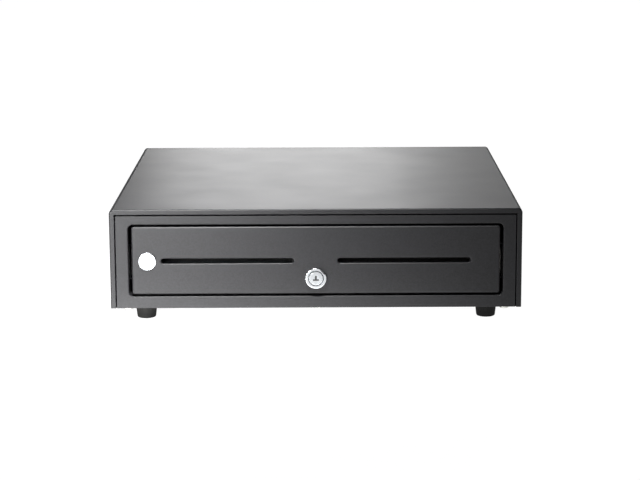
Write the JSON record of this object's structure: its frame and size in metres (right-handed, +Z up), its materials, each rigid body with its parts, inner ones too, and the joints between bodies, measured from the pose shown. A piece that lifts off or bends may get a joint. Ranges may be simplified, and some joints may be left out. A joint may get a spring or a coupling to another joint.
{
  "type": "cash drawer",
  "caption": "Black powder-coated steel cash drawer with slide-out tray, note and coin till, front media slots, key lock and solenoid latch.",
  "frame": {"origin": "centre of the bounding box at the underside of the feet", "axes": "+Z up, the drawer's front facing -Y, +X to the right seen from the front"},
  "size_m": [0.411, 0.4174, 0.1129],
  "materials": {
    "powder_coat": "semi-gloss black powder coat with a fine texture",
    "zinc_steel": "bright zinc plate",
    "lock_chrome": "polished chrome plate",
    "black_abs": "moulded, fine spark texture",
    "spring_steel": "bright drawn wire",
    "foot_rubber": "matt moulded rubber",
    "badge_metal": "satin lacquered disc",
    "coil_tape": "amber winding tape",
    "lead_pvc": "smooth cable sheath"
  },
  "bodies": {
    "case": {"case_cover": "powder_coat", "base_pan": "powder_coat", "front_bezel": "powder_coat", "foot_front_left": "foot_rubber", "foot_front_right": "foot_rubber", "foot_rear_left": "foot_rubber", "foot_rear_right": "foot_rubber", "bezel_screw_left": "zinc_steel", "bezel_screw_right": "zinc_steel", "catch_screw_left": "zinc_steel", "catch_screw_right": "zinc_steel", "cover_screw_left": "zinc_steel", "cover_screw_right": "zinc_steel", "lock_catch": "zinc_steel", "slide_outer_left": "zinc_steel", "slide_outer_right": "zinc_steel", "slide_bracket_left": "zinc_steel", "slide_bracket_right": "zinc_steel", "latch_plate": "zinc_steel", "latch_pivot_pin": "zinc_steel", "solenoid_frame": "zinc_steel", "solenoid_coil": "coil_tape", "latch_spring": "spring_steel", "drawer_switch": "black_abs", "ejector_guide": "black_abs", "ejector_spring": "spring_steel", "interface_jack": "black_abs", "wiring_lead": "lead_pvc"},
    "drawer": {"drawer_front": "powder_coat", "drawer_tray": "powder_coat", "badge": "badge_metal", "media_sleeve_left": "black_abs", "media_sleeve_right": "black_abs", "till_rail_left": "powder_coat", "till_rail_right": "powder_coat", "lock_barrel": "lock_chrome", "lock_nut": "zinc_steel", "strike": "zinc_steel", "slide_inner_left": "zinc_steel", "slide_inner_right": "zinc_steel", "cash_till": "black_abs", "clip_rod": "spring_steel"},
    "lock": {"lock_plug": "lock_chrome", "lock_cam": "zinc_steel", "cam_screw": "zinc_steel"},
    "hook": {"latch_hook": "zinc_steel"},
    "plunger": {"solenoid_plunger": "zinc_steel"},
    "lever": {"switch_lever": "spring_steel"},
    "ejector": {"ejector_plunger": "zinc_steel"},
    "middle_left": {"slide_middle_left": "zinc_steel"},
    "outer_cage_left": {"ball_cage_outer_left": "black_abs"},
    "inner_cage_left": {"ball_cage_inner_left": "black_abs"},
    "middle_right": {"slide_middle_right": "zinc_steel"},
    "outer_cage_right": {"ball_cage_outer_right": "black_abs"},
    "inner_cage_right": {"ball_cage_inner_right": "black_abs"},
    "clip_1": {"note_clip_1": "black_abs"},
    "clip_2": {"note_clip_2": "black_abs"},
    "clip_3": {"note_clip_3": "black_abs"},
    "clip_4": {"note_clip_4": "black_abs"},
    "clip_5": {"note_clip_5": "black_abs"}
  },
  "joints": [
    {"name": "drawer_slide", "type": "slide", "parent": "case", "child": "drawer", "axis": [0, -1, 0], "range_m": [0, 0.3]},
    {"name": "middle_left_slide", "type": "slide", "parent": "case", "child": "middle_left", "axis": [0, -1, 0], "range_m": [0, 0.151]},
    {"name": "outer_cage_left_slide", "type": "slide", "parent": "case", "child": "outer_cage_left", "axis": [0, -1, 0], "range_m": [0, 0.076]},
    {"name": "inner_cage_left_slide", "type": "slide", "parent": "case", "child": "inner_cage_left", "axis": [0, -1, 0], "range_m": [0, 0.226]},
    {"name": "middle_right_slide", "type": "slide", "parent": "case", "child": "middle_right", "axis": [0, -1, 0], "range_m": [0, 0.151]},
    {"name": "outer_cage_right_slide", "type": "slide", "parent": "case", "child": "outer_cage_right", "axis": [0, -1, 0], "range_m": [0, 0.076]},
    {"name": "inner_cage_right_slide", "type": "slide", "parent": "case", "child": "inner_cage_right", "axis": [0, -1, 0], "range_m": [0, 0.226]},
    {"name": "lock_turn", "type": "hinge", "parent": "drawer", "child": "lock", "pos_m": [0, -0.1976, 0.0431], "axis": [0, 1, 0], "range_deg": [0, 90]},
    {"name": "hook_turn", "type": "hinge", "parent": "case", "child": "hook", "pos_m": [0.016, 0.1864, 0.035], "axis": [0, 0, -1], "range_deg": [0, 17], "deforming": ["latch_spring"]},
    {"name": "plunger_slide", "type": "slide", "parent": "case", "child": "plunger", "axis": [1, 0, 0], "range_m": [-0.0062, 0]},
    {"name": "lever_turn", "type": "hinge", "parent": "case", "child": "lever", "pos_m": [-0.001, 0.1884, 0.035], "axis": [0, 0, -1], "range_deg": [0, 16]},
    {"name": "ejector_slide", "type": "slide", "parent": "case", "child": "ejector", "axis": [0, 1, 0], "range_m": [0, 0.004], "stiffness_N_per_m": 250, "springref_m": -0.02, "deforming": ["ejector_spring"]},
    {"name": "note_clip_1_lift", "type": "hinge", "parent": "drawer", "child": "clip_1", "pos_m": [-0.13624, 0.124, 0.0825], "axis": [-1, 0, 0], "range_deg": [0, 34], "stiffness_Nm_per_rad": 0.03, "springref_deg": -20.05},
    {"name": "note_clip_2_lift", "type": "hinge", "parent": "drawer", "child": "clip_2", "pos_m": [-0.06812, 0.124, 0.0825], "axis": [-1, 0, 0], "range_deg": [0, 34], "stiffness_Nm_per_rad": 0.03, "springref_deg": -20.05},
    {"name": "note_clip_3_lift", "type": "hinge", "parent": "drawer", "child": "clip_3", "pos_m": [0, 0.124, 0.0825], "axis": [-1, 0, 0], "range_deg": [0, 34], "stiffness_Nm_per_rad": 0.03, "springref_deg": -20.05},
    {"name": "note_clip_4_lift", "type": "hinge", "parent": "drawer", "child": "clip_4", "pos_m": [0.06812, 0.124, 0.0825], "axis": [-1, 0, 0], "range_deg": [0, 34], "stiffness_Nm_per_rad": 0.03, "springref_deg": -20.05},
    {"name": "note_clip_5_lift", "type": "hinge", "parent": "drawer", "child": "clip_5", "pos_m": [0.13624, 0.124, 0.0825], "axis": [-1, 0, 0], "range_deg": [0, 34], "stiffness_Nm_per_rad": 0.03, "springref_deg": -20.05}
  ],
  "couplings": [
    {"joint": "middle_left_slide", "follows": "drawer_slide", "ratio": 0.5},
    {"joint": "outer_cage_left_slide", "follows": "drawer_slide", "ratio": 0.25},
    {"joint": "inner_cage_left_slide", "follows": "drawer_slide", "ratio": 0.75},
    {"joint": "middle_right_slide", "follows": "drawer_slide", "ratio": 0.5},
    {"joint": "outer_cage_right_slide", "follows": "drawer_slide", "ratio": 0.25},
    {"joint": "inner_cage_right_slide", "follows": "drawer_slide", "ratio": 0.75},
    {"joint": "plunger_slide", "follows": "hook_turn", "m_per_rad": -0.02},
    {"joint": "lever_turn", "follows": "hook_turn", "ratio": 0.93}
  ]
}
